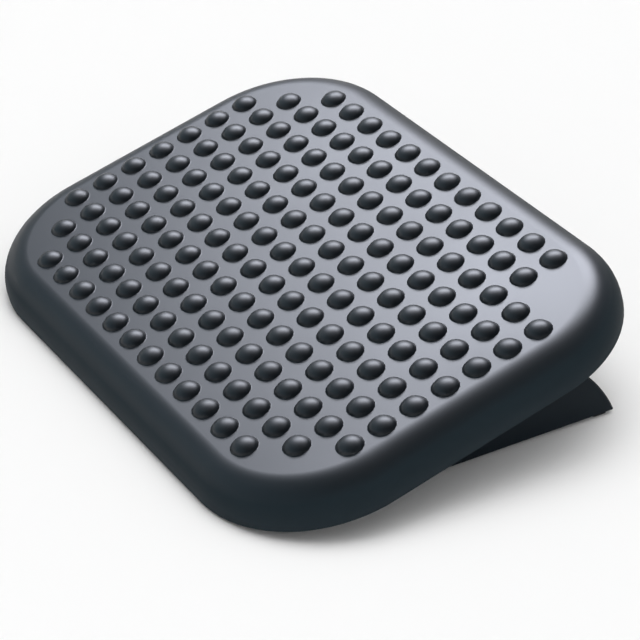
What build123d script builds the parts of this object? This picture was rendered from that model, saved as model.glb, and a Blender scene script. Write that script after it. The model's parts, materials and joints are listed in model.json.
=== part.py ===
"""Tilting footrest: a domed platform that rocks on a cross axle over an arched base.

Millimetres. +X is the sitter's right, +Y points away from the sitter, +Z is up and the floor is Z = 0.
The origin is on the floor, under the middle of the whole object at rest.
"""

import os
from math import cos, radians, sin, sqrt

from build123d import *

# Platform
platform_width = 450.0
platform_depth = 320.0
platform_corner_radius = 92.0
skirt_straight = 4.5
edge_radius = 24.0
platform_wall = 3.0
rest_tilt = 15.6
rim_floor_gap = 0.8

# Domes
dome_diameter = 19.7
dome_height = 5.6
dome_wall = 3.0
dome_pitch_x = 25.4
dome_pitch_y = 24.7
dome_grid_offset = 1.3

# Underside ribs
rib_thickness = 2.0
rib_depth = 10.0
rib_clearance = 1.0

# Axle
axle_diameter = 10.0
axle_from_front = 192.0
axle_end_chamfer = 0.8
axle_end_land = 2.0

# Bearings under the platform
lug_width = 12.0
lug_length = 44.0
lug_web_thickness = 2.5
lug_web_inset = 3.0
sleeve_wall = 2.0
sleeve_slit = 1.2
cap_wall = 4.0
cap_clamp_gap = 0.2
cap_edge_radius = 2.0

# Cap screws
screw_diameter = 4.0
screw_head_diameter = 7.5
screw_head_height = 2.8
screw_bite = 9.0
screw_spacing = 31.0
screw_socket_across = 3.0
screw_socket_depth = 1.6

# Washers and circlips
washer_diameter = 16.0
thrust_washer_thickness = 1.5
end_washer_thickness = 1.2
circlip_diameter = 14.0
circlip_thickness = 1.0
circlip_groove_depth = 0.6
circlip_gap = 5.0
circlip_ear_diameter = 3.6
circlip_eye_diameter = 1.5

# Base
base_inset = 40.0
arch_radius = 120.0
arch_wall = 3.0
arch_deck_gap = 1.6
arch_roof_gap = 1.0
arch_edge_chamfer = 1.2
cheek_wall = 3.0
rim_flange_width = 18.0
rim_flange_thickness = 3.0
axle_boss_diameter = 20.0
axle_boss_length = 10.0
arch_rib_thickness = 2.5
arch_rib_depth = 25.0
arch_rib_spacing = 124.0

# Rubber feet
foot_length = 44.0
foot_width = 13.0
foot_height = 3.5
foot_corner_radius = 3.0
foot_edge_inset = 3.0
foot_peg_diameter = 5.0
foot_peg_spacing = 28.0

# Rubber bumpers under the front edge
bumper_spacing = 240.0
bumper_diameter = 14.0
bumper_boss_wall = 1.5
bumper_skirt_gap = 1.0
bumper_recess = 2.0
bumper_stem_diameter = 6.0
bumper_stem_length = 8.0

# Rubber stop pads on the arch's rear shoulder
stop_tilt = 15.6
stop_spacing = 203.2
stop_diameter = 10.0
stop_seat_depth = 0.6
stop_stem_diameter = 5.0
stop_barb_diameter = 7.0
stop_barb_height = 1.5

# Fits
running_clearance = 0.05
seat_clearance = 0.02
screw_clearance = 0.15
side_clearance = 0.3
stop_clearance = 0.3

# The platform's levels, measured from the axle and square to the deck.
# The arch's crown rises over the axle, and the deck clears the arch at either end of the tilt.
tilt = radians(rest_tilt)
far_tilt = radians(stop_tilt)
steepest_tilt = max(tilt, far_tilt)
axle_radius = axle_diameter / 2
arch_crown = axle_radius + arch_roof_gap + arch_wall
arch_centre = arch_crown - arch_radius
underside_level = arch_radius + arch_deck_gap + arch_centre * cos(steepest_tilt)
deck_level = underside_level + platform_wall
platform_height = skirt_straight + edge_radius
rim_level = deck_level - platform_height

# The axle's place over the floor, and the object's extent from front to rear
axle_height = rim_floor_gap + axle_from_front * sin(tilt) - rim_level * cos(tilt)
front_rim_to_axle = axle_from_front * cos(tilt) + rim_level * sin(tilt)
front_overhang = skirt_straight * sin(tilt) + edge_radius * (1 - cos(tilt))
object_depth = front_overhang + platform_depth * cos(tilt)
axle_y = front_overhang + front_rim_to_axle - object_depth / 2

# Planes through the axle: the platform's, the bearings' and the arch's
axle_point = (0, axle_y, axle_height)
up_slope = (0, cos(tilt), sin(tilt))
platform_plane = Plane(origin=axle_point, x_dir=(1, 0, 0), z_dir=(0, -sin(tilt), cos(tilt)))
bearing_plane = Plane(origin=axle_point, x_dir=up_slope, z_dir=(1, 0, 0))
arch_plane = Plane(origin=axle_point, x_dir=(0, 1, 0), z_dir=(1, 0, 0))
deck_axis = Axis(platform_plane.origin, platform_plane.z_dir)
platform_middle = platform_depth / 2 - axle_from_front
dome_grid_middle = platform_middle + dome_grid_offset
front_edge = -axle_from_front
rear_edge = platform_depth - axle_from_front

# Places along the axle, from the cheek outwards
cheek_face = platform_width / 2 - base_inset
lug_inner_face = cheek_face + thrust_washer_thickness + side_clearance
lug_outer_face = lug_inner_face + lug_width
lug_middle = (lug_inner_face + lug_outer_face) / 2
end_washer_face = lug_outer_face + side_clearance
circlip_face = end_washer_face + end_washer_thickness
axle_end = circlip_face + circlip_thickness + axle_end_land
sides = {"left": -1, "right": 1}

# Domes fill the flat of the deck as far as they fit, apart from one bare place in a rear corner
flat_width = platform_width - 2 * edge_radius
flat_depth = platform_depth - 2 * edge_radius
flat_corner_radius = platform_corner_radius - edge_radius
dome_radius = dome_diameter / 2
dome_sphere_radius = (dome_radius**2 + dome_height**2) / (2 * dome_height)
dome_sphere_level = deck_level + dome_height - dome_sphere_radius
dome_columns = 1 + int((flat_width - dome_diameter) / dome_pitch_x)
dome_rows = 1 + int((flat_depth - dome_diameter) / dome_pitch_y)
bare_place = (dome_columns - 2, dome_rows - 2)


def dome_fits(x, y):
    """True where a dome's foot circle lies inside the flat's rounded rectangle."""
    past_x = max(abs(x) - (flat_width / 2 - flat_corner_radius), 0)
    past_y = max(abs(y) - (flat_depth / 2 - flat_corner_radius), 0)
    return sqrt(past_x**2 + past_y**2) + dome_radius <= flat_corner_radius


def over_a_lug(x, y):
    """True where a dome stands over a bearing lug, and so stays solid."""
    beside = abs(abs(x) - lug_middle) < lug_width / 2 + dome_radius
    return beside and abs(y) < lug_length / 2 + dome_radius


dome_places = []
for column in range(dome_columns):
    for row in range(dome_rows):
        dome_x = (column - (dome_columns - 1) / 2) * dome_pitch_x
        dome_y = (row - (dome_rows - 1) / 2) * dome_pitch_y
        fits = dome_fits(dome_x, dome_grid_offset + dome_y)
        if fits and (column, row) != bare_place:
            dome_places.append((dome_x, dome_grid_middle + dome_y, dome_sphere_level))
hollow_dome_places = [place for place in dome_places if not over_a_lug(place[0], place[1])]

# Ribs run between the domes and stay off the stretch of underside that the arch sweeps
arch_reach = underside_level - rib_depth - rib_clearance - arch_centre * cos(steepest_tilt)
swept_half = -arch_centre * sin(steepest_tilt) + sqrt(arch_radius**2 - arch_reach**2)
rib_columns = range(-(dome_columns // 4), dome_columns // 4 + 1)
rib_rows = [dome_grid_middle + (k - dome_rows / 2) * dome_pitch_y for k in range(1, dome_rows)]
cross_rib_rows = [y for y in rib_rows if abs(y) > swept_half + rib_thickness / 2]
rib_places = []
for rib_from, rib_to in ((front_edge, -swept_half), (swept_half, rear_edge)):
    rib_places.append(((rib_from + rib_to) / 2, rib_to - rib_from))
web_y = lug_length / 2 - lug_web_inset - lug_web_thickness / 2
web_length = platform_width / 2 - lug_outer_face
web_middle = platform_width / 2 - web_length / 2
screw_rows = (-screw_spacing / 2, screw_spacing / 2)
screw_places = [(side * lug_middle, y) for side in sides.values() for y in screw_rows]
sleeve_radius = axle_radius + sleeve_wall
bumper_radius = bumper_diameter / 2
bumper_boss_radius = bumper_radius + bumper_boss_wall
bumper_y = front_edge + platform_wall + bumper_skirt_gap + bumper_boss_radius
bumper_level = rim_level + bumper_recess
bumper_places = [(side * bumper_spacing / 2, bumper_y) for side in sides.values()]
standing = (Align.CENTER, Align.CENTER, Align.MIN)
hanging = (Align.CENTER, Align.CENTER, Align.MAX)

# Ribs under the deck, hung from inside its wall
with BuildPart() as deck_ribs:
    with Locations(platform_plane.offset(deck_level)):
        for rib_y, rib_length in rib_places:
            with Locations(*[(2 * k * dome_pitch_x, rib_y) for k in rib_columns]):
                Box(rib_thickness, rib_length, platform_wall + rib_depth, align=hanging)
        with Locations(*[(0, rib_y) for rib_y in cross_rib_rows]):
            Box(platform_width, rib_thickness, platform_wall + rib_depth, align=hanging)

# Bearing lugs with their webs, saddles and screw holes
with BuildPart() as deck_lugs:
    with Locations(platform_plane):
        with Locations(*[(side * lug_middle, 0) for side in sides.values()]):
            Box(lug_width, lug_length, deck_level, align=standing)
        with Locations(*[(side * web_middle, y) for side in sides.values() for y in (-web_y, web_y)]):
            Box(web_length, lug_web_thickness, deck_level, align=standing)
    with BuildSketch(bearing_plane):
        Circle(sleeve_radius + seat_clearance)
    extrude(amount=lug_outer_face, both=True, mode=Mode.SUBTRACT)
    with BuildSketch(platform_plane):
        with Locations(*screw_places):
            Circle(screw_diameter / 2 + seat_clearance)
    extrude(amount=screw_bite, mode=Mode.SUBTRACT)

# Bosses that hold the front bumpers' stems
with BuildPart() as deck_bosses:
    with BuildSketch(platform_plane.offset(bumper_level)):
        with Locations(*bumper_places):
            Circle(bumper_boss_radius)
    extrude(amount=deck_level - bumper_level)
    with BuildSketch(platform_plane.offset(bumper_level)):
        with Locations(*bumper_places):
            Circle(bumper_stem_diameter / 2 + seat_clearance)
    extrude(amount=bumper_stem_length, mode=Mode.SUBTRACT)

# The hollow under the deck, one wall inside the platform's skin, less what stands in it
with BuildPart() as deck_hollow:
    with BuildSketch(platform_plane.offset(rim_level)):
        with Locations((0, platform_middle)):
            RectangleRounded(
                platform_width - 2 * platform_wall,
                platform_depth - 2 * platform_wall,
                platform_corner_radius - platform_wall,
            )
    extrude(amount=platform_height - platform_wall)
    fillet(deck_hollow.edges().group_by(deck_axis)[-1], edge_radius - platform_wall)
    with Locations(platform_plane):
        with Locations(*hollow_dome_places):
            Sphere(dome_sphere_radius - dome_wall)
    add([deck_ribs.part, deck_lugs.part, deck_bosses.part], mode=Mode.SUBTRACT)

# The platform: a slab with a quarter-round edge all round, its domes, and the hollow cut out of it
with BuildPart() as platform:
    with BuildSketch(platform_plane.offset(rim_level)):
        with Locations((0, platform_middle)):
            RectangleRounded(platform_width, platform_depth, platform_corner_radius)
    extrude(amount=platform_height)
    fillet(platform.edges().group_by(deck_axis)[-1], edge_radius)
    with Locations(platform_plane):
        with Locations(*dome_places):
            Sphere(dome_sphere_radius)
    add(deck_hollow.part, mode=Mode.SUBTRACT)
platform.part.label = "platform"

os.makedirs("parts", exist_ok=True)
export_step(platform.part, "parts/platform.step")

# Bearing caps: blocks with the lower half of the saddle, clamped up by two counterbored screws
cap_level = -sleeve_radius - cap_wall
screw_seat_level = cap_level + screw_head_height
screw_radius = screw_diameter / 2
screw_head_radius = screw_head_diameter / 2
for side_name, side in sides.items():
    with BuildPart() as bearing_cap:
        with BuildSketch(platform_plane.offset(cap_level)):
            with Locations((side * lug_middle, 0)):
                Rectangle(lug_width, lug_length)
        extrude(amount=-cap_clamp_gap - cap_level)
        lower_edges = bearing_cap.edges().group_by(deck_axis)[0]
        fillet(lower_edges.filter_by(Axis.X), cap_edge_radius)
        with BuildSketch(bearing_plane):
            Circle(sleeve_radius + seat_clearance)
        extrude(amount=lug_outer_face, both=True, mode=Mode.SUBTRACT)
        with BuildSketch(platform_plane.offset(cap_level)):
            with Locations(*screw_places):
                Circle(screw_radius + screw_clearance)
        extrude(amount=-cap_level, mode=Mode.SUBTRACT)
        with BuildSketch(platform_plane.offset(cap_level)):
            with Locations(*screw_places):
                Circle(screw_head_radius + screw_clearance)
        extrude(amount=screw_head_height, mode=Mode.SUBTRACT)
    bearing_cap.part.label = f"{side_name}_bearing_cap"
    export_step(bearing_cap.part, f"parts/{side_name}_bearing_cap.step")

# Cap screws: low round heads with a hex socket, two to a cap
with BuildPart() as cap_screws:
    with BuildSketch(platform_plane.offset(cap_level)):
        with Locations(*screw_places):
            Circle(screw_head_radius)
    extrude(amount=screw_head_height)
    with BuildSketch(platform_plane.offset(screw_seat_level)):
        with Locations(*screw_places):
            Circle(screw_radius)
    extrude(amount=screw_bite - screw_seat_level)
    with BuildSketch(platform_plane.offset(cap_level)):
        with Locations(*screw_places):
            RegularPolygon(screw_socket_across / 2, 6, major_radius=False)
    extrude(amount=screw_socket_depth, mode=Mode.SUBTRACT)
cap_screws.part.label = "cap_screws"
export_step(cap_screws.part, "parts/cap_screws.step")

# Friction sleeves: tubes slit along one side, clamped round the axle by lug and cap
for side_name, side in sides.items():
    with BuildPart() as friction_sleeve:
        with BuildSketch(bearing_plane.offset(side * lug_middle)):
            Circle(sleeve_radius)
            Circle(axle_radius + running_clearance, mode=Mode.SUBTRACT)
            with Locations((sleeve_radius, 0)):
                Rectangle(2 * sleeve_radius, sleeve_slit, mode=Mode.SUBTRACT)
        extrude(amount=lug_width / 2, both=True)
    friction_sleeve.part.label = f"{side_name}_friction_sleeve"
    export_step(friction_sleeve.part, f"parts/{side_name}_friction_sleeve.step")

# Front bumpers: rubber buttons stemmed into their bosses, with the face cut to lie flat on the floor
for side_name, side in sides.items():
    with BuildPart() as front_bumper:
        with BuildSketch(platform_plane.offset(bumper_level)):
            with Locations((side * bumper_spacing / 2, bumper_y)):
                Circle(bumper_radius)
        extrude(amount=-platform_height)
        split(bisect_by=Plane.XY, keep=Keep.TOP)
        with BuildSketch(platform_plane.offset(bumper_level)):
            with Locations((side * bumper_spacing / 2, bumper_y)):
                Circle(bumper_stem_diameter / 2)
        extrude(amount=bumper_stem_length)
    front_bumper.part.label = f"{side_name}_front_bumper"
    export_step(front_bumper.part, f"parts/{side_name}_front_bumper.step")

# The arch's section: a circle segment that stands on the rim flanges, with its mouth between them
base_level = foot_height - axle_height
flange_level = base_level + rim_flange_thickness
arch_inner_radius = arch_radius - arch_wall
base_half_depth = sqrt(arch_radius**2 - (base_level - arch_centre) ** 2)
mouth_depth = 2 * (base_half_depth - rim_flange_width)
on_its_foot = (Align.CENTER, Align.MIN)

with BuildPart() as arch_hollow:
    with BuildSketch(arch_plane):
        with Locations((0, arch_centre)):
            Circle(arch_inner_radius)
        with Locations((0, flange_level)):
            Rectangle(2 * arch_radius, arch_radius, align=on_its_foot, mode=Mode.INTERSECT)
        with Locations((0, base_level)):
            Rectangle(mouth_depth, 2 * rim_flange_thickness, align=on_its_foot)
    extrude(amount=cheek_face - cheek_wall, both=True)
    for rib_x in (-arch_rib_spacing / 2, arch_rib_spacing / 2):
        with BuildSketch(arch_plane.offset(rib_x)):
            with Locations((0, arch_centre)):
                Circle(arch_radius)
                Circle(arch_inner_radius - arch_rib_depth, mode=Mode.SUBTRACT)
        extrude(amount=arch_rib_thickness / 2, both=True, mode=Mode.SUBTRACT)
    for side in sides.values():
        with BuildSketch(arch_plane.offset(side * cheek_face)):
            Circle(axle_boss_diameter / 2)
        extrude(amount=-side * (cheek_wall + axle_boss_length), mode=Mode.SUBTRACT)

# Places of the feet under the rim flanges and of the stop pads on the rear shoulder
foot_x = cheek_face - foot_edge_inset - foot_length / 2
foot_y = base_half_depth - foot_edge_inset - foot_width / 2
ends = {"front": -1, "rear": 1}
foot_names = {}
for end_name, end in ends.items():
    for side_name, side in sides.items():
        foot_names[f"{end_name}_{side_name}_foot"] = (side * foot_x, axle_y + end * foot_y)
peg_offsets = (-foot_peg_spacing / 2, foot_peg_spacing / 2)
peg_places = [(x + offset, y) for x, y in foot_names.values() for offset in peg_offsets]
stop_y = axle_y + arch_radius * sin(far_tilt)
stop_z = axle_height + arch_centre + arch_radius * cos(far_tilt)
stop_plane = Plane(origin=(0, stop_y, stop_z), x_dir=(1, 0, 0), z_dir=(0, sin(far_tilt), cos(far_tilt)))
stop_places = [(side * stop_spacing / 2, 0) for side in sides.values()]
stop_height = underside_level - arch_centre * cos(far_tilt) - arch_radius - stop_clearance
stop_radius = stop_diameter / 2
stop_stem_radius = stop_stem_diameter / 2

# The arched base: a vault with closed ends, bored for the axle, the feet's pegs and the stop pads
with BuildPart() as base_arch:
    with BuildSketch(arch_plane):
        with Locations((0, arch_centre)):
            Circle(arch_radius)
    extrude(amount=cheek_face, both=True)
    chamfer(base_arch.edges().filter_by(GeomType.CIRCLE), arch_edge_chamfer)
    split(bisect_by=Plane.XY.offset(foot_height), keep=Keep.TOP)
    add(arch_hollow.part, mode=Mode.SUBTRACT)
    with BuildSketch(arch_plane):
        Circle(axle_radius + seat_clearance)
    extrude(amount=cheek_face, both=True, mode=Mode.SUBTRACT)
    with BuildSketch(Plane.XY.offset(foot_height)):
        with Locations(*peg_places):
            Circle(foot_peg_diameter / 2 + seat_clearance)
    extrude(amount=rim_flange_thickness, mode=Mode.SUBTRACT)
    with BuildSketch(stop_plane.offset(-stop_seat_depth)):
        with Locations(*stop_places):
            Circle(stop_radius + screw_clearance)
    extrude(amount=2 * stop_seat_depth, mode=Mode.SUBTRACT)
    with BuildSketch(stop_plane):
        with Locations(*stop_places):
            Circle(stop_stem_radius + seat_clearance)
    extrude(amount=-2 * arch_wall, mode=Mode.SUBTRACT)
base_arch.part.label = "base_arch"
export_step(base_arch.part, "parts/base_arch.step")

# The axle: a plain rod with chamfered ends and a groove for a circlip near each end
groove_radius = axle_radius - circlip_groove_depth
with BuildPart() as tilt_axle:
    with BuildSketch(arch_plane):
        Circle(axle_radius)
    extrude(amount=axle_end, both=True)
    chamfer(tilt_axle.edges().filter_by(GeomType.CIRCLE), axle_end_chamfer)
    for side in sides.values():
        with BuildSketch(arch_plane.offset(side * (circlip_face - running_clearance))):
            Circle(axle_diameter)
            Circle(groove_radius, mode=Mode.SUBTRACT)
        extrude(amount=side * (circlip_thickness + 2 * running_clearance), mode=Mode.SUBTRACT)
tilt_axle.part.label = "tilt_axle"
export_step(tilt_axle.part, "parts/tilt_axle.step")

# Washers on the axle: nylon between cheek and lug, steel outside the lug
washer_kinds = {
    "thrust": (cheek_face, thrust_washer_thickness),
    "end": (end_washer_face, end_washer_thickness),
}
for kind, (washer_face, washer_thickness) in washer_kinds.items():
    for side_name, side in sides.items():
        with BuildPart() as washer:
            with BuildSketch(arch_plane.offset(side * washer_face)):
                Circle(washer_diameter / 2)
                Circle(axle_radius + running_clearance, mode=Mode.SUBTRACT)
            extrude(amount=side * washer_thickness)
        washer.part.label = f"{side_name}_{kind}_washer"
        export_step(washer.part, f"parts/{side_name}_{kind}_washer.step")

# Circlips: open spring rings with two eared ends, snapped into the axle's grooves
ear_y = -(groove_radius + circlip_diameter / 2) / 2
ear_x = (circlip_gap + circlip_ear_diameter) / 2
for side_name, side in sides.items():
    with BuildPart() as circlip:
        with BuildSketch(arch_plane.offset(side * circlip_face)):
            Circle(circlip_diameter / 2)
            with Locations((0, -circlip_diameter / 2)):
                Rectangle(circlip_gap, circlip_diameter, mode=Mode.SUBTRACT)
            with Locations((-ear_x, ear_y), (ear_x, ear_y)):
                Circle(circlip_ear_diameter / 2)
            Circle(groove_radius + seat_clearance, mode=Mode.SUBTRACT)
            with Locations((-ear_x, ear_y), (ear_x, ear_y)):
                Circle(circlip_eye_diameter / 2, mode=Mode.SUBTRACT)
        extrude(amount=side * circlip_thickness)
    circlip.part.label = f"{side_name}_circlip"
    export_step(circlip.part, f"parts/{side_name}_circlip.step")

# Feet: rubber pads with rounded corners, held by two pegs in the rim flange
for foot_name, foot_place in foot_names.items():
    with BuildPart() as foot:
        with BuildSketch():
            with Locations(foot_place):
                RectangleRounded(foot_length, foot_width, foot_corner_radius)
        extrude(amount=foot_height)
        with BuildSketch(Plane.XY.offset(foot_height)):
            with Locations(*[(foot_place[0] + offset, foot_place[1]) for offset in peg_offsets]):
                Circle(foot_peg_diameter / 2)
        extrude(amount=rim_flange_thickness)
    foot.part.label = foot_name
    export_step(foot.part, f"parts/{foot_name}.step")

# Stop pads: rubber buttons seated in the arch's shoulder, with a barb inside the wall
barb_level = -arch_wall - side_clearance
for side_name, side in sides.items():
    with BuildPart() as stop_pad:
        with BuildSketch(stop_plane.offset(-stop_seat_depth)):
            with Locations((side * stop_spacing / 2, 0)):
                Circle(stop_radius)
        extrude(amount=stop_seat_depth + stop_height)
        with BuildSketch(stop_plane.offset(-stop_seat_depth)):
            with Locations((side * stop_spacing / 2, 0)):
                Circle(stop_stem_radius)
        extrude(amount=barb_level - stop_barb_height + stop_seat_depth)
        with BuildSketch(stop_plane.offset(barb_level)):
            with Locations((side * stop_spacing / 2, 0)):
                Circle(stop_barb_diameter / 2)
        extrude(amount=-stop_barb_height)
    stop_pad.part.label = f"{side_name}_stop_pad"
    export_step(stop_pad.part, f"parts/{side_name}_stop_pad.step")
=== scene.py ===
"""Dresses the tilting footrest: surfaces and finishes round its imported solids, in metres, in their frame."""

import json
import math

import bpy
import mathutils
import numpy as np
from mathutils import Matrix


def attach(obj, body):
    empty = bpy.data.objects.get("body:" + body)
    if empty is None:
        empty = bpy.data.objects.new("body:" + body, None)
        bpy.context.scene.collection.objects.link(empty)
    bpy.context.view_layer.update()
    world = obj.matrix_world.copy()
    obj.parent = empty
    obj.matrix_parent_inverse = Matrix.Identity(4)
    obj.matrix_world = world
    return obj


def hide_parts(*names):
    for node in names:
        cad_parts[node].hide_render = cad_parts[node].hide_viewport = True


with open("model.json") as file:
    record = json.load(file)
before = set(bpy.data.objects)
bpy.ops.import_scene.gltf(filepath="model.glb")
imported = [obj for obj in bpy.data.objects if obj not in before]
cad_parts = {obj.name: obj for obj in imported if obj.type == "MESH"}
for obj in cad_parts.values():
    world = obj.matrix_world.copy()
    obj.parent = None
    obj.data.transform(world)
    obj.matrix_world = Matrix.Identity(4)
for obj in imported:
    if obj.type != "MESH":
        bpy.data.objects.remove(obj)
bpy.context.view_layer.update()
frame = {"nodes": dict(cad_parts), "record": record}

# Arched base
# The standing half: a vault with closed ends, moulded in one shot of dark slate polypropylene.
# Its tool is spark-eroded, which leaves an even fine grain and a gloss that drifts a little over the shell.

base_colours = ((0.0036, 0.0084, 0.0130), (0.0048, 0.0106, 0.0160))
base_roughness = 0.55
base_roughness_drift = 0.10
base_roughness_grain = 0.06
base_specular = 0.15
base_drift_scale = 14.0
base_grain_scale = 1900.0
base_grain_depth = 0.00004


class Wire:
    """One output socket in a material's node tree. Arithmetic on wires adds Math nodes."""

    def __init__(self, tree, socket=None):
        self.tree = tree
        self.socket = socket

    def node(self, kind, settings=None, inputs=None, output=0):
        """Adds a node of this kind: its settings first, then a value or a wire for each input."""
        made = self.tree.nodes.new(kind)
        for name, value in (settings or {}).items():
            setattr(made, name, value)
        for name, value in (inputs or {}).items():
            if isinstance(value, Wire):
                self.tree.links.new(value.socket, made.inputs[name])
            else:
                made.inputs[name].default_value = value
        return Wire(self.tree, made.outputs[output] if made.outputs else None)

    def math(self, operation, first, second):
        return self.node("ShaderNodeMath", {"operation": operation}, {0: first, 1: second})

    def __add__(self, other):
        return self.math("ADD", self, other)

    def __mul__(self, other):
        return self.math("MULTIPLY", self, other)

    def __sub__(self, other):
        return self.math("SUBTRACT", self, other)

    def __rsub__(self, other):
        return self.math("SUBTRACT", other, self)

    __radd__ = __add__
    __rmul__ = __mul__


def finish(name, shading):
    """A material whose surface is the shader that shading(start) builds from an empty wire."""
    made = bpy.data.materials.new(name)
    made.use_nodes = True
    made.node_tree.nodes.clear()
    start = Wire(made.node_tree)
    start.node("ShaderNodeOutputMaterial", inputs={"Surface": shading(start)})
    return made


def noise(start, place, scale, detail=2.0):
    """Noise about 0.5 with this many features to a metre."""
    return start.node("ShaderNodeTexNoise", inputs={"Vector": place, "Scale": scale, "Detail": detail})


def tint(start, share, first, second):
    """A colour that goes from the first to the second as share goes from 0 to 1."""
    inputs = {0: share, 6: (*first, 1.0), 7: (*second, 1.0)}
    return start.node("ShaderNodeMix", {"data_type": "RGBA"}, inputs, output=2)


def relief(start, height, depth):
    """A normal bent by height, which stands for this many metres."""
    return start.node("ShaderNodeBump", inputs={"Strength": 1.0, "Distance": depth, "Height": height})


def base_plastic(start):
    """Dark slate plastic: a fine eroded grain, a slow drift of shade, and gloss that varies with both."""
    place = start.node("ShaderNodeTexCoord", output="Object")
    drift = noise(start, place, base_drift_scale)
    grain = noise(start, place, base_grain_scale)
    inputs = {
        "Base Color": tint(start, drift, *base_colours),
        "Roughness": base_roughness + base_roughness_drift * drift + base_roughness_grain * grain,
        "Normal": relief(start, grain, base_grain_depth),
        "Specular IOR Level": base_specular,
    }
    return start.node("ShaderNodeBsdfPrincipled", inputs=inputs)


def dress(material, *nodes):
    """Gives these solids' objects one material."""
    for name in nodes:
        mesh = frame["nodes"][name].data
        mesh.materials.clear()
        mesh.materials.append(material)


dress(finish("base_plastic", base_plastic), "base_arch")

# Rubber feet, stop pads and front bumpers
# Black rubber, pressed in a polished tool: pads pegged into the base's rim, two buttons on the arch's rear
# shoulder that end the tilt, and two buttons under the platform's front edge that meet the floor.

rubber_colours = ((0.006, 0.006, 0.0065), (0.014, 0.014, 0.0145))
rubber_roughness = 0.62
rubber_roughness_bloom = 0.20
rubber_specular = 0.35
rubber_bloom_scale = 90.0
rubber_speckle_scale = 2400.0
rubber_speckle_depth = 0.00003


def rubber(start):
    """Black rubber: a dry skin with fine speckle and a faint bloom."""
    place = start.node("ShaderNodeTexCoord", output="Object")
    bloom = noise(start, place, rubber_bloom_scale)
    speckle = noise(start, place, rubber_speckle_scale)
    inputs = {
        "Base Color": tint(start, bloom, *rubber_colours),
        "Roughness": rubber_roughness + rubber_roughness_bloom * bloom,
        "Normal": relief(start, speckle, rubber_speckle_depth),
        "Specular IOR Level": rubber_specular,
    }
    return start.node("ShaderNodeBsdfPrincipled", inputs=inputs)


rubber_finish = finish("rubber", rubber)
dress(rubber_finish, "front_left_foot", "front_right_foot", "rear_left_foot", "rear_right_foot")
dress(rubber_finish, "left_stop_pad", "right_stop_pad", "left_front_bumper", "right_front_bumper")

# Tilt axle
# A drawn steel rod across the whole base, pressed into the cheeks, with chamfered ends and a groove for a
# circlip near each. Drawing leaves faint lines along it.

steel_colours = ((0.47, 0.48, 0.49), (0.60, 0.61, 0.62))
steel_roughness = 0.22
steel_roughness_lines = 0.16
steel_cloud_scale = 120.0
steel_line_scale = 2200.0
steel_line_stretch = (0.02, 1.0, 1.0)
steel_line_depth = 0.00001


def drawn_steel(start):
    """Bright steel with drawing lines along X: noise stretched along the rod."""
    place = start.node("ShaderNodeTexCoord", output="Object")
    along = start.node("ShaderNodeMapping", inputs={"Vector": place, "Scale": steel_line_stretch})
    lines = noise(start, along, steel_line_scale)
    cloud = noise(start, place, steel_cloud_scale)
    inputs = {
        "Base Color": tint(start, cloud, *steel_colours),
        "Metallic": 1.0,
        "Roughness": steel_roughness + steel_roughness_lines * lines,
        "Normal": relief(start, lines, steel_line_depth),
    }
    return start.node("ShaderNodeBsdfPrincipled", inputs=inputs)


dress(finish("drawn_steel", drawn_steel), "tilt_axle")

# Nylon washers and sleeves
# Moulded in natural nylon: a thrust washer between each cheek and its lug, and a slit sleeve clamped round the
# axle in each bearing, whose grip holds the tilt.

nylon_colours = ((0.62, 0.59, 0.50), (0.72, 0.70, 0.62))
nylon_roughness = 0.42
nylon_roughness_cloud = 0.12
nylon_cloud_scale = 160.0
nylon_skin_scale = 1500.0
nylon_skin_depth = 0.00002


def natural_nylon(start):
    """Off-white nylon with a cloudy tone and a soft waxy gloss."""
    place = start.node("ShaderNodeTexCoord", output="Object")
    cloud = noise(start, place, nylon_cloud_scale)
    inputs = {
        "Base Color": tint(start, cloud, *nylon_colours),
        "Roughness": nylon_roughness + nylon_roughness_cloud * cloud,
        "Normal": relief(start, noise(start, place, nylon_skin_scale), nylon_skin_depth),
    }
    return start.node("ShaderNodeBsdfPrincipled", inputs=inputs)


nylon_finish = finish("natural_nylon", natural_nylon)
dress(nylon_finish, "left_thrust_washer", "right_thrust_washer")
dress(nylon_finish, "left_friction_sleeve", "right_friction_sleeve")

# Platform
# The tilting half: one moulding of slate plastic with a grid of raised domes, a quarter-round edge and a
# skirt. Ribs, bearing lugs and bumper bosses hang under the deck. Deck and domes come off the tool with a satin
# grain, and the edge and skirt with a dull one; the edge and skirt's lighter base colour is painted reflection.

tilt_axle_place = np.array(frame["record"]["behaviour"]["joints"][0]["pos_m"])
rest_tilt = math.radians(15.6)
deck_axes = np.array((
    (1.0, 0.0, 0.0),
    (0.0, math.cos(rest_tilt), math.sin(rest_tilt)),
    (0.0, -math.sin(rest_tilt), math.cos(rest_tilt)),
))
deck_level = 0.017689
wall = 0.003
underside_level = deck_level - wall
half_width = 0.225
half_depth = 0.160
middle_row = -0.032
corner_radius = 0.092
corner_steps = 20
edge_radius = 0.024
edge_steps = 12
rim_level = -0.010811
rim_round = 0.0006
round_steps = 4

dome_radius = 0.00962
dome_height = 0.0052
dome_sink = 0.0012
dome_fillet = 0.0008
dome_pitch = (0.0254, 0.0247)
dome_counts = (16, 11)
dome_middle = middle_row + 0.0013
bare_place = (14, 9)
dome_turns = 16
dome_rings = 3
fillet_search = (0.02, np.pi / 2, 400)
hollow_radius = 0.0076
hollow_height = 0.0052

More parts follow.
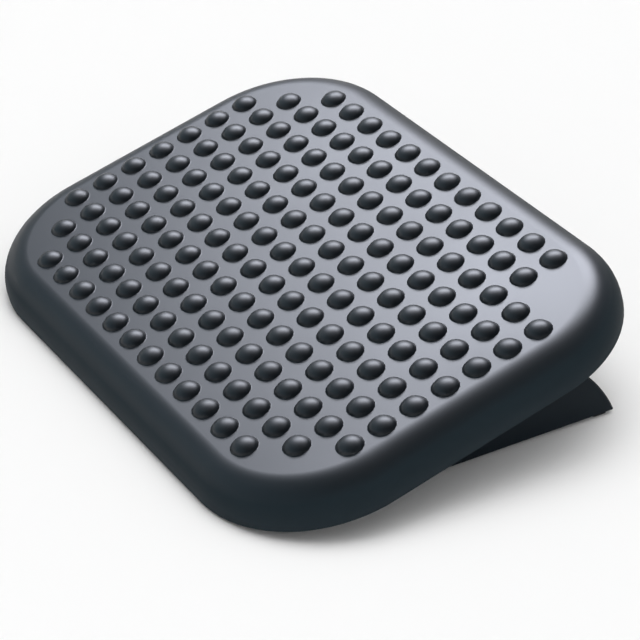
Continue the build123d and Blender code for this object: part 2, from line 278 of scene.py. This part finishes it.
rib_thickness = 0.002
rib_foot = underside_level - 0.010
rib_columns = 0.0508 * np.arange(-4, 5)
rib_rows = dome_middle + dome_pitch[1] * np.array((-4.5, -3.5, -2.5, 4.5))
rib_runs = ((-0.190, -0.0764), (0.0764, 0.126))
rib_search_steps = 401
rib_steps = 33
rib_foot_steps = 7
lug_faces = (0.1868, 0.1988)
lug_half = 0.022
saddle_radius = 0.00702
saddle_steps = 25
web_rows = (-0.01775, 0.01775)
web_thickness = 0.0025
boss_radius = 0.0085
boss_places = ((-0.120, -0.1795), (0.120, -0.1795))
boss_foot = rim_level + 0.002
boss_turns = 32

millimetres = 1000.0
triangle_slack = 1e-7
weld_digits = 7

satin_colours = ((0.0029, 0.0061, 0.0104), (0.0039, 0.0077, 0.0128))
satin_roughness = 0.348
satin_roughness_drift = 0.08
satin_roughness_grain = 0.05
satin_specular = 0.5
dome_added_roughness = 0.03
dome_band = (deck_level + 0.0002, deck_level + 0.0016)
# The edge and skirt's base colour is lighter than the deck's: painted reflection of the room, over the dull
# finish.
dull_painted_reflection_colours = ((0.0078, 0.0158, 0.0214), (0.0094, 0.0184, 0.0246))
dull_added_roughness = 0.24
dull_specular = 0.16
dull_and_painted_band = (deck_level - 0.0005, deck_level - 0.010)
platform_drift_scale = 9.0
platform_grain_scale = 2100.0
platform_grain_depth = 0.00001


def ring_faces(rings, turns):
    """Quads between the points of neighbouring rings, whose last point joins their first."""
    ring = np.arange(rings - 1)[:, None] * turns
    here = np.arange(turns)[None, :]
    there = (here + 1) % turns
    return np.stack([ring + here, ring + there, ring + turns + there, ring + turns + here], -1).reshape(-1, 4)


def facing(points, normals, faces):
    """A patch whose faces are turned over if they look against its normals."""
    corners = points[faces]
    look = np.cross(corners[:, 2] - corners[:, 0], corners[:, -1] - corners[:, 1])
    agree = np.sum(look * normals[faces].mean(axis=1))
    return points, normals, faces if agree > 0.0 else faces[:, ::-1]


def ring_patch(points, normals):
    """A patch through a grid of points whose rows are closed rings."""
    return facing(points.reshape(-1, 3), normals.reshape(-1, 3), ring_faces(*points.shape[:2]))


def flat_face(border, normal):
    """One flat face inside a closed border."""
    return facing(border, np.broadcast_to(normal, border.shape), np.arange(len(border))[None, :])


def outline(inset):
    """The platform's outline drawn in by each inset: four corner arcs about fixed centres, joined by the
    straight sides. Gives the points' places on the deck and the directions in which they look outwards."""
    quarter = np.linspace(0.0, np.pi / 2, corner_steps + 1)
    turn = np.concatenate([quarter + k * np.pi / 2 for k in range(4)])
    outward = np.stack([np.cos(turn), np.sin(turn)], -1)
    side = np.repeat(((1.0, 1.0), (-1.0, 1.0), (-1.0, -1.0), (1.0, -1.0)), corner_steps + 1, axis=0)
    centre = side * (half_width - corner_radius, half_depth - corner_radius) + (0.0, middle_row)
    return centre + outward * (corner_radius - np.asarray(inset)[..., None, None]), outward


def edge_skin():
    """The section of edge, skirt and rim carried round the outline. Its points are an inset, a level and a tilt
    away from the deck's normal: outer quarter circle, skirt, two small rounds at the rim, inner wall, inner
    quarter circle."""
    quarter = np.linspace(0.0, np.pi / 2, edge_steps + 1)
    small = np.linspace(0.0, np.pi / 2, round_steps)
    core = deck_level - edge_radius
    inner = edge_radius - wall
    inset = np.concatenate([
        edge_radius * (1.0 - np.sin(quarter)),
        rim_round * (1.0 - np.cos(small)),
        wall - rim_round * (1.0 - np.sin(small)),
        edge_radius - inner * np.cos(quarter),
    ])
    level = np.concatenate([
        core + edge_radius * np.cos(quarter),
        rim_level + rim_round * (1.0 - np.sin(small)),
        rim_level + rim_round * (1.0 - np.cos(small)),
        core + inner * np.sin(quarter),
    ])
    lean = np.concatenate([quarter, np.pi / 2 + small, np.pi + small, 1.5 * np.pi - quarter])
    place, outward = outline(inset)
    points = np.dstack([place, np.broadcast_to(level[:, None], place.shape[:2])])
    normals = np.dstack([
        np.sin(lean)[:, None, None] * outward,
        np.broadcast_to(np.cos(lean)[:, None], place.shape[:2]),
    ])
    return ring_patch(points, normals)


def dome_places():
    """Places of the domes' middles: a grid, as far as a whole dome fits on the flat, less the bare place."""
    column, row = np.meshgrid(np.arange(dome_counts[0]), np.arange(dome_counts[1]), indexing="ij")
    x = (column - (dome_counts[0] - 1) / 2) * dome_pitch[0]
    y = (row - (dome_counts[1] - 1) / 2) * dome_pitch[1] + dome_middle
    past_x = np.maximum(np.abs(x) - (half_width - corner_radius), 0.0)
    past_y = np.maximum(np.abs(y - middle_row) - (half_depth - corner_radius), 0.0)
    fits = np.hypot(past_x, past_y) + dome_radius <= corner_radius - edge_radius
    fits[bare_place] = False
    return np.stack([x[fits], y[fits]], -1)


def ellipse(turn, radius, tall):
    """Radius, height and tilt at each turn up a quarter ellipse, from 0 at its foot to a quarter at its top."""
    lean = np.arctan2(np.cos(turn) / radius, np.sin(turn) / tall)
    return radius * np.cos(turn), tall * np.sin(turn), lean


def dome_section():
    """Radius, height and tilt down a dome: an ellipse sunk a little into the deck, then a fillet that runs out
    flat. The fillet starts where a point one fillet radius off the ellipse is as high above the deck."""
    tall = dome_height + dome_sink
    turn = np.linspace(*fillet_search)
    height, lean = ellipse(turn, dome_radius, tall)[1:]
    start = np.interp(dome_fillet, height - dome_sink + dome_fillet * np.cos(lean), turn)
    radius, height, lean = ellipse(np.linspace(np.pi / 2, start, dome_rings + 1)[1:], dome_radius, tall)
    foot = radius[-1] + dome_fillet * np.sin(lean[-1])
    return np.append(radius, foot), np.append(height - dome_sink, 0.0), np.append(lean, 0.0)


def bumps(places, section, top, level, way):
    """Rings about every place with the section's radii, heights and tilts, closed by a fan at the top. Way is 1
    for domes that look up and -1 for hollows that look down. Gives the patches and the outermost rings."""
    radius, height, lean = (part[:, None] for part in section)
    turn = np.linspace(0.0, 2.0 * np.pi, dome_turns, endpoint=False)
    round_x, round_y = np.cos(turn), np.sin(turn)
    rings = np.stack(np.broadcast_arrays(
        places[:, 0, None, None] + radius * round_x,
        places[:, 1, None, None] + radius * round_y,
        level + height,
    ), -1)
    looks = way * np.stack(np.broadcast_arrays(
        np.sin(lean) * round_x,
        np.sin(lean) * round_y,
        np.cos(lean),
    ), -1)
    crown = np.column_stack([places, np.full(len(places), level + top)])
    points = np.concatenate([rings.reshape(-1, 3), crown])
    normals = np.concatenate([
        np.broadcast_to(looks, rings.shape).reshape(-1, 3),
        np.broadcast_to((0.0, 0.0, way), crown.shape),
    ])
    first = np.arange(len(places))[:, None, None] * len(radius) * dome_turns
    bands = (first + ring_faces(len(radius), dome_turns)).reshape(-1, 4)
    here = np.arange(dome_turns)
    tips = len(places) * len(radius) * dome_turns + np.arange(len(places))
    fans = np.concatenate([
        np.broadcast_to(tips[:, None, None], (len(places), dome_turns, 1)),
        first + np.stack([here, (here + 1) % dome_turns], -1),
    ], -1).reshape(-1, 3)
    return [facing(points, normals, bands), facing(points, normals, fans)], rings[:, -1]


def flat_sheet(border, holes, level, way):
    """The flat between the border and the holes: a triangulation of all their points, without the triangles
    that have all their corners on one hole. Way is 1 if it looks up and -1 if it looks down."""
    loops = [border, *holes]
    sizes = np.array([len(loop) for loop in loops])
    firsts = np.repeat(np.cumsum(sizes) - sizes, sizes)
    member = np.repeat(np.arange(len(loops)), sizes)
    place = np.concatenate(loops)
    index = np.arange(len(place))
    following = firsts + (index - firsts + 1) % np.repeat(sizes, sizes)
    ties = np.stack([index, following], -1).tolist()
    spots = [mathutils.Vector(spot) for spot in millimetres * place]
    made = mathutils.geometry.delaunay_2d_cdt(spots, ties, [], 0, triangle_slack)
    source = np.array([came[0] for came in made[3]])
    faces = source[np.array(made[2])]
    loop = member[faces]
    inside = (loop[:, 0] == loop[:, 1]) & (loop[:, 1] == loop[:, 2]) & (loop[:, 0] > 0)
    points = np.column_stack([place, np.full(len(place), level)])
    return facing(points, np.broadcast_to((0.0, 0.0, way), points.shape), faces[~inside])


def roof(x, y):
    """The level in the middle of the platform's wall over a place on the deck: flat, and a quarter circle near
    the outline."""
    past_x = np.abs(x) - (half_width - corner_radius)
    past_y = np.abs(y - middle_row) - (half_depth - corner_radius)
    corner = np.hypot(np.maximum(past_x, 0.0), np.maximum(past_y, 0.0))
    inset = corner_radius - np.maximum(corner, np.maximum(past_x, past_y))
    lean = edge_radius - np.minimum(inset, edge_radius)
    radius = edge_radius - wall / 2
    return deck_level - edge_radius + np.sqrt(np.maximum(radius**2 - lean**2, 0.0))


def rib(start, end, thickness, foot):
    """A thin wall between two places on the deck, as far as the roof over them is higher than its half-round
    foot. Its section is carried along the line, with its upper corners on the roof."""
    low = foot + thickness / 2
    share = np.linspace(0.0, 1.0, rib_search_steps)[:, None]
    spine = np.asarray(start) * (1.0 - share) + np.asarray(end) * share
    spine = spine[roof(spine[:, 0], spine[:, 1]) > low]
    spine = spine[np.linspace(0, len(spine) - 1, rib_steps).astype(int)]
    along = (spine[-1] - spine[0]) / np.linalg.norm(spine[-1] - spine[0])
    across = np.array((-along[1], along[0]))
    lean = np.linspace(-np.pi / 2, np.pi / 2, rib_foot_steps)
    aside = thickness / 2 * np.concatenate([[-1.0], np.sin(lean), [1.0]])
    level = np.concatenate([[0.0], low - thickness / 2 * np.cos(lean), [0.0]])
    level = np.broadcast_to(level, (len(spine), len(level))).copy()
    level[:, 0] = level[:, -1] = roof(spine[:, 0], spine[:, 1])
    points = np.dstack([spine[:, None, :] + aside[:, None] * across, level])
    lean = np.concatenate([[-np.pi / 2], lean, [np.pi / 2]])
    normal = np.column_stack([np.sin(lean)[:, None] * across, -np.cos(lean)])
    skin = ring_patch(points, np.broadcast_to(normal, points.shape))
    return [skin, flat_face(points[0], (*-along, 0.0)), flat_face(points[-1], (*along, 0.0))]


def lug(side):
    """A bearing block: a rectangle with a half-round saddle over the axle, carried across from face to face."""
    turn = np.linspace(np.pi, 0.0, saddle_steps)
    top = deck_level - wall / 2
    y = np.concatenate([[-lug_half], saddle_radius * np.cos(turn), [lug_half, lug_half, -lug_half]])
    z = np.concatenate([[0.0], saddle_radius * np.sin(turn), [0.0, top, top]])
    near, far = (np.column_stack([np.full(len(y), side * face), y, z]) for face in lug_faces)
    strip = np.stack([near, np.roll(near, -1, axis=0), np.roll(far, -1, axis=0), far], 1)
    normal = np.cross(strip[:, 1] - strip[:, 0], strip[:, 3] - strip[:, 0])
    normal *= side / np.linalg.norm(normal, axis=1, keepdims=True)
    normals = np.repeat(normal, 4, axis=0)
    walls = facing(strip.reshape(-1, 3), normals, np.arange(4 * len(y)).reshape(-1, 4))
    return [walls, flat_face(near, (-side, 0.0, 0.0)), flat_face(far, (side, 0.0, 0.0))]


def boss(place):
    """A post round a bumper's stem: rings from the roof down, a small round at the foot, and a flat end."""
    turn = np.linspace(0.0, 2.0 * np.pi, boss_turns, endpoint=False)
    small = np.linspace(0.0, np.pi / 2, round_steps)
    radius = np.append(boss_radius, boss_radius - rim_round * (1.0 - np.cos(small)))
    lean = np.append(0.0, small)
    x = place[0] + radius[:, None] * np.cos(turn)
    y = place[1] + radius[:, None] * np.sin(turn)
    level = np.broadcast_to(boss_foot + rim_round * (1.0 - np.sin(lean))[:, None], x.shape).copy()
    level[0] = roof(x[0], y[0])
    points = np.dstack([x, y, level])
    normals = np.dstack([
        np.cos(lean)[:, None] * np.cos(turn),
        np.cos(lean)[:, None] * np.sin(turn),
        np.broadcast_to(-np.sin(lean)[:, None], x.shape),
    ])
    ends = [flat_face(points[-1], (0.0, 0.0, -1.0)), flat_face(points[0], (0.0, 0.0, 1.0))]
    return [ring_patch(points, normals), *ends]


def new_piece(name, patches, material, origin=(0.0, 0.0, 0.0), axes=np.eye(3)):
    """A mesh object at the origin from patches given along these axes. Equal points are welded, and every
    corner keeps its own patch's normal, so a patch stays smooth up to a sharp edge."""
    firsts = np.cumsum([0] + [len(points) for points, normals, faces in patches])
    points = np.concatenate([points for points, normals, faces in patches]) @ axes + origin
    normals = np.concatenate([normals for points, normals, faces in patches]) @ axes
    sheets = [patch[2] + first for first, patch in zip(firsts, patches)]
    corners = np.concatenate([sheet.ravel() for sheet in sheets])
    spots = np.round(points, weld_digits)
    kept, welded = np.unique(spots, axis=0, return_index=True, return_inverse=True)[1:]
    welded = welded.ravel()
    mesh = bpy.data.meshes.new(name)
    mesh.from_pydata(points[kept].tolist(), [], [row for sheet in sheets for row in welded[sheet].tolist()])
    mesh.materials.append(material)
    mesh.shade_smooth()
    mesh.normals_split_custom_set(normals[corners].tolist())
    made = bpy.data.objects.new(name, mesh)
    bpy.context.scene.collection.objects.link(made)
    return made


def platform_patches():
    """All the surfaces of the moulding, in the deck's own axes from the tilt axle. The domes are hollow
    underneath, except over the lugs."""
    places = dome_places()
    domes, feet = bumps(places, dome_section(), dome_height, deck_level, 1.0)
    beside = np.abs(np.abs(places[:, 0]) - np.mean(lug_faces)) < np.ptp(lug_faces) / 2 + dome_radius
    solid = beside & (np.abs(places[:, 1]) < lug_half + dome_radius)
    hollow_section = ellipse(np.linspace(np.pi / 2, 0.0, dome_rings + 1)[1:], hollow_radius, hollow_height)
    hollows, mouths = bumps(places[~solid], hollow_section, hollow_height, underside_level, -1.0)
    border = outline(edge_radius)[0]
    patches = [edge_skin(), *domes, *hollows]
    patches.append(flat_sheet(border, feet[..., :2], deck_level, 1.0))
    patches.append(flat_sheet(border, mouths[..., :2], underside_level, -1.0))
    for x in rib_columns:
        for start, end in rib_runs:
            patches += rib((x, start), (x, end), rib_thickness, rib_foot)
    for y in rib_rows:
        patches += rib((-half_width, y), (half_width, y), rib_thickness, rib_foot)
    for side in (-1.0, 1.0):
        patches += lug(side)
        for y in web_rows:
            patches += rib((side * lug_faces[1], y), (side * half_width, y), web_thickness, -web_thickness / 2)
    for place in boss_places:
        patches += boss(place)
    return patches


def platform_plastic(start):
    """Slate plastic with a satin grain. The height over the deck makes the domes a little rougher, and leads
    from the satin finish to the dull one down the edge, whose lighter base colour is painted reflection."""
    place = start.node("ShaderNodeTexCoord", output="Object")
    drift = noise(start, place, platform_drift_scale)
    grain = noise(start, place, platform_grain_scale)
    from_axle = start.node("ShaderNodeVectorMath", {"operation": "SUBTRACT"}, {0: place, 1: tilt_axle_place})
    along = {0: from_axle, 1: deck_axes[2]}
    level = start.node("ShaderNodeVectorMath", {"operation": "DOT_PRODUCT"}, along, "Value")
    # The second mask leads down the edge to the dull finish, whose lighter base colour is painted reflection.
    on_dome, on_dull_and_painted_edge = (
        start.node("ShaderNodeMapRange", inputs={"Value": level, "From Min": first, "From Max": last})
        for first, last in (dome_band, dull_and_painted_band)
    )
    roughness = satin_roughness + satin_roughness_drift * drift + satin_roughness_grain * grain
    normal = relief(start, grain, platform_grain_depth)
    satin = {
        "Base Color": tint(start, drift, *satin_colours),
        "Roughness": roughness + dome_added_roughness * on_dome,
        "Normal": normal,
        "Specular IOR Level": satin_specular,
    }
    # Dull finish: rougher and less glossy, with a lighter base colour that is painted reflection.
    dull = {
        "Base Color": tint(start, drift, *dull_painted_reflection_colours),
        "Roughness": roughness + dull_added_roughness,
        "Normal": normal,
        "Specular IOR Level": dull_specular,
    }
    shaders = [start.node("ShaderNodeBsdfPrincipled", inputs=inputs) for inputs in (satin, dull)]
    return start.node("ShaderNodeMixShader", inputs={0: on_dull_and_painted_edge, 1: shaders[0], 2: shaders[1]})


platform_finish = finish("platform_plastic", platform_plastic)
platform = new_piece("platform_moulding", platform_patches(), platform_finish, tilt_axle_place, deck_axes)
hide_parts("platform")
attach(platform, "platform")

# Bearing caps
# The lower halves of the bearings: matt blocks moulded in black glass-filled plastic, each clamped up against
# its lug and its sleeve by two screws.

cap_colours = ((0.012, 0.012, 0.013), (0.022, 0.022, 0.024))
cap_roughness = 0.48
cap_roughness_fibre = 0.14
cap_fibre_scale = 700.0
cap_fibre_detail = 4.0
cap_fibre_depth = 0.00003


def bearing_plastic(start):
    """Black glass-filled plastic with a dull, slightly fibrous skin."""
    place = start.node("ShaderNodeTexCoord", output="Object")
    fibre = noise(start, place, cap_fibre_scale, cap_fibre_detail)
    inputs = {
        "Base Color": tint(start, fibre, *cap_colours),
        "Roughness": cap_roughness + cap_roughness_fibre * fibre,
        "Normal": relief(start, fibre, cap_fibre_depth),
    }
    return start.node("ShaderNodeBsdfPrincipled", inputs=inputs)


dress(finish("bearing_plastic", bearing_plastic), "left_bearing_cap", "right_bearing_cap")

# Cap screws and end washers
# Zinc plated steel: four low-headed screws with hex sockets, driven up through the caps into the lugs, and a
# plain stamped washer outside each lug.

zinc_colours = ((0.50, 0.51, 0.54), (0.66, 0.67, 0.70))
zinc_roughness = 0.26
zinc_roughness_mottle = 0.16
zinc_mottle_scale = 420.0
zinc_mottle_detail = 3.0


def zinc_plate(start):
    """Zinc on steel: a bluish bright metal with soft mottling."""
    place = start.node("ShaderNodeTexCoord", output="Object")
    mottle = noise(start, place, zinc_mottle_scale, zinc_mottle_detail)
    inputs = {
        "Base Color": tint(start, mottle, *zinc_colours),
        "Metallic": 1.0,
        "Roughness": zinc_roughness + zinc_roughness_mottle * mottle,
    }
    return start.node("ShaderNodeBsdfPrincipled", inputs=inputs)


dress(finish("zinc_plate", zinc_plate), "cap_screws", "left_end_washer", "right_end_washer")

# Circlips
# Open rings stamped from spring steel and blackened, sprung into the axle's grooves outside the end washers.
# They keep the axle from sliding out.

spring_colours = ((0.06, 0.06, 0.066), (0.13, 0.13, 0.14))
spring_roughness = 0.34
spring_roughness_patch = 0.18
spring_patch_scale = 600.0
spring_patch_detail = 3.0


def spring_steel(start):
    """Blackened steel: a dark oxide with oily gloss and a rubbed, patchy tone."""
    place = start.node("ShaderNodeTexCoord", output="Object")
    patch = noise(start, place, spring_patch_scale, spring_patch_detail)
    inputs = {
        "Base Color": tint(start, patch, *spring_colours),
        "Metallic": 1.0,
        "Roughness": spring_roughness + spring_roughness_patch * patch,
    }
    return start.node("ShaderNodeBsdfPrincipled", inputs=inputs)


dress(finish("spring_steel", spring_steel), "left_circlip", "right_circlip")

# Floor
# A plain pale sweep in matt white paint: a flat floor that curves up into a low wall far away all round, so
# that it fills the view from every side.

sweep_flat = 5.0
sweep_curve = 1.5
sweep_turns = 96
sweep_steps = 12
floor_colours = ((0.88, 0.88, 0.88), (0.90, 0.90, 0.90))
floor_roughness = 0.9
floor_specular = 0.0
floor_drift_scale = 0.5


def pale_floor(start):
    """Matt white paint with a very slow drift of shade."""
    place = start.node("ShaderNodeTexCoord", output="Object")
    inputs = {
        "Base Color": tint(start, noise(start, place, floor_drift_scale), *floor_colours),
        "Roughness": floor_roughness,
        "Specular IOR Level": floor_specular,
    }
    return start.node("ShaderNodeBsdfPrincipled", inputs=inputs)


def sweep():
    """Rings about the Z axis: a quarter circle that climbs outwards, and a flat face inside the lowest ring."""
    rise = np.linspace(0.0, np.pi / 2, sweep_steps)
    turn = np.linspace(0.0, 2.0 * np.pi, sweep_turns, endpoint=False)
    radius = sweep_flat + sweep_curve * np.sin(rise)
    around = np.stack([np.cos(turn), np.sin(turn)], -1)
    height = np.broadcast_to((sweep_curve * (1.0 - np.cos(rise)))[:, None], (sweep_steps, sweep_turns))
    points = np.dstack([radius[:, None, None] * around, height])
    inward = -np.sin(rise)[:, None, None] * around
    normals = np.dstack([inward, np.broadcast_to(np.cos(rise)[:, None], height.shape)])
    return [flat_face(points[0], (0.0, 0.0, 1.0)), ring_patch(points, normals)]


new_piece("floor", sweep(), finish("pale_floor", pale_floor))

# Studio light
# One softbox above and behind the left of the object, which lights gloss alone and which the deck mirrors.
# Matt surfaces get a soft light from overhead and from the right, and gloss sees a dim room, which is lighter
# at the front left.

deck_middle = np.array((0.0, -0.0063, 0.0713))
softbox_azimuth = math.radians(235.1)
softbox_elevation = math.radians(47.3)
softbox_distance = 2.0
softbox_size = (1.55, 0.74)
softbox_colour = (0.86, 0.89, 1.0)
softbox_watts = 79.0
matt_all_round = 0.42
matt_from_right = 0.41
matt_from_behind = 0.04
matt_from_above = 4.68
lighter_side = (-0.62, -0.78)
room_colours = ((0.015, 0.020, 0.027), (0.46, 0.66, 0.77))


def stand(thing, aim, azimuth, elevation, distance):
    """Puts a lamp or camera at this distance from its aim, looking at it. An azimuth of 0 is in front of the
    object, and one of a quarter turn is on its right."""
    away = np.array((
        math.sin(azimuth) * math.cos(elevation),
        -math.cos(azimuth) * math.cos(elevation),
        math.sin(elevation),
    ))
    thing.location = aim + away * distance
    thing.rotation_euler = (math.pi / 2 - elevation, 0.0, azimuth)
    bpy.context.scene.collection.objects.link(thing)


lamp = bpy.data.lights.new("softbox", "AREA")
lamp.shape = "RECTANGLE"
lamp.size, lamp.size_y = softbox_size
lamp.energy = softbox_watts
lamp.color = softbox_colour
softbox = bpy.data.objects.new("softbox", lamp)
softbox.visible_camera = False
softbox.visible_diffuse = False
stand(softbox, deck_middle, softbox_azimuth, softbox_elevation, softbox_distance)

world = bpy.data.worlds.new("room")
world.use_nodes = True
room = Wire(world.node_tree)
direction = room.node("ShaderNodeTexCoord", output="Generated")
rightwards, backwards, upwards = (
    room.node("ShaderNodeSeparateXYZ", inputs={"Vector": direction}, output=axis) for axis in "XYZ"
)
upwards_4 = upwards * upwards * upwards * upwards
sideways = matt_all_round + matt_from_right * rightwards + matt_from_behind * backwards
matt_light = sideways + matt_from_above * upwards_4 * upwards_4 * upwards_4
lighter = room.math("MAXIMUM", lighter_side[0] * rightwards + lighter_side[1] * backwards, 0.0)
gloss_light = tint(room, lighter, *room_colours)
diffuse_ray = room.node("ShaderNodeLightPath", output="Is Diffuse Ray")
by_ray = {0: diffuse_ray, 6: gloss_light, 7: matt_light}
room_light = room.node("ShaderNodeMix", {"data_type": "RGBA"}, by_ray, output=2)
world.node_tree.links.new(room_light.socket, world.node_tree.nodes["Background"].inputs["Color"])
bpy.context.scene.world = world

# Camera
# It stands where the photograph was taken from: right of the front, looking down at the deck. Its lens gives
# the photograph's focal length in pixels.

image_width = 640.0
focal_pixels = 2568.0
sensor_width = 36.0
nearest_view = 0.01
camera_aim = np.array((0.0287, -0.0006, 0.0361))
camera_azimuth = math.radians(58.72)
camera_elevation = math.radians(31.22)
camera_distance = 1.7732

camera_data = bpy.data.cameras.new("camera")
camera_data.sensor_width = sensor_width
camera_data.lens = focal_pixels / image_width * sensor_width
camera_data.clip_start = nearest_view
camera = bpy.data.objects.new("camera", camera_data)
stand(camera, camera_aim, camera_azimuth, camera_elevation, camera_distance)
bpy.context.scene.camera = camera
bpy.context.scene.view_settings.view_transform = "Standard"
